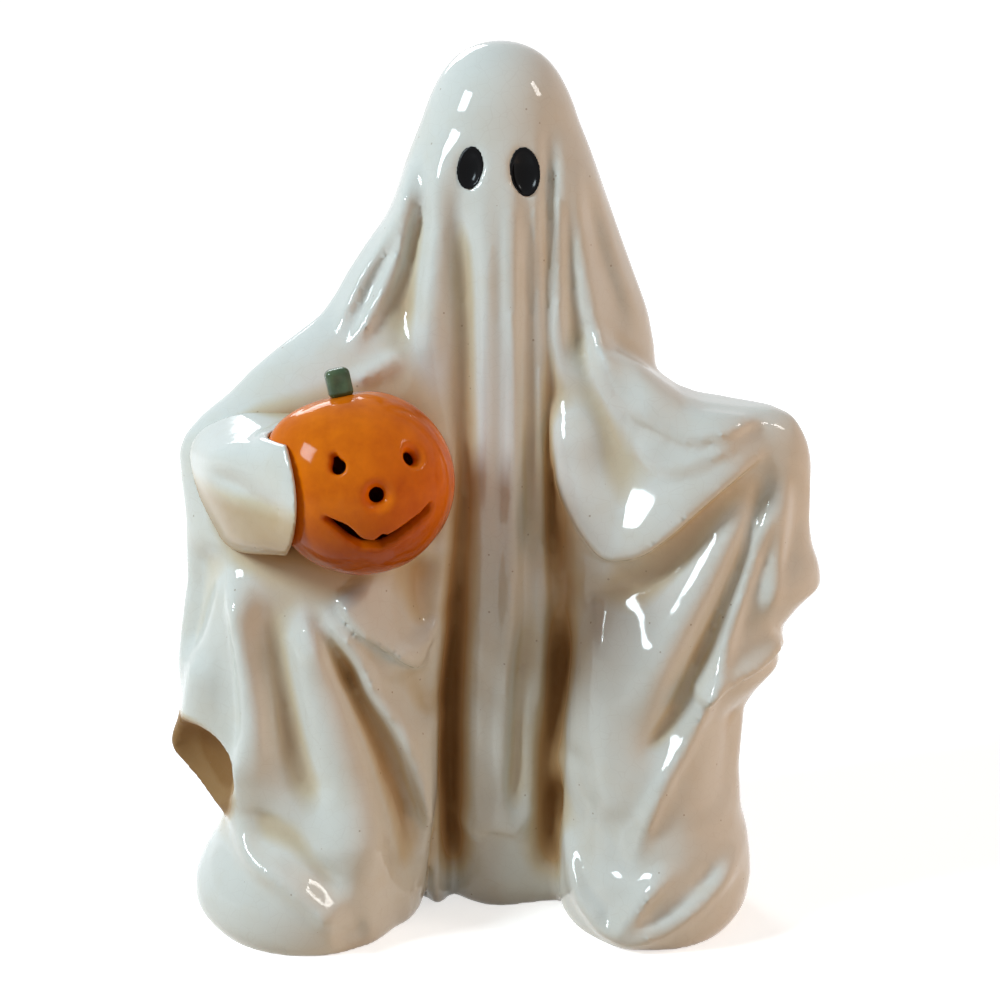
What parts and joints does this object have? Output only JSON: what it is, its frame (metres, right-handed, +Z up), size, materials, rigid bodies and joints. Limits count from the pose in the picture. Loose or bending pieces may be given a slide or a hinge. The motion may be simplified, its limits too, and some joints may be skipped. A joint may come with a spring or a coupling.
{
  "type": "ceramic ghost figure",
  "caption": "Hollow glazed ceramic ghost in a draped sheet, holding a pierced pumpkin lantern against its side with a covered hand; a free-standing seasonal ornament.",
  "frame": {"origin": "bottom centre of the figure's bounding box, on the surface it stands on", "axes": "+Z up towards the crown; the ghost faces along -Y; +X is the viewer's right, the side of the raised arm"},
  "size_m": [0.2059, 0.1278, 0.2719],
  "materials": {
    "white_glaze": "clear gloss glaze over ivory slip, finely crazed",
    "orange_glaze": "brushed orange under clear gloss glaze",
    "green_glaze": "brushed dark green under clear gloss glaze",
    "black_glaze": "thick black gloss glaze"
  },
  "bodies": {
    "root": {"ghost_body": "white_glaze", "covered_hand": "white_glaze", "pumpkin": "orange_glaze", "pumpkin_stem": "green_glaze", "left_eye": "black_glaze", "right_eye": "black_glaze"}
  },
  "joints": []
}
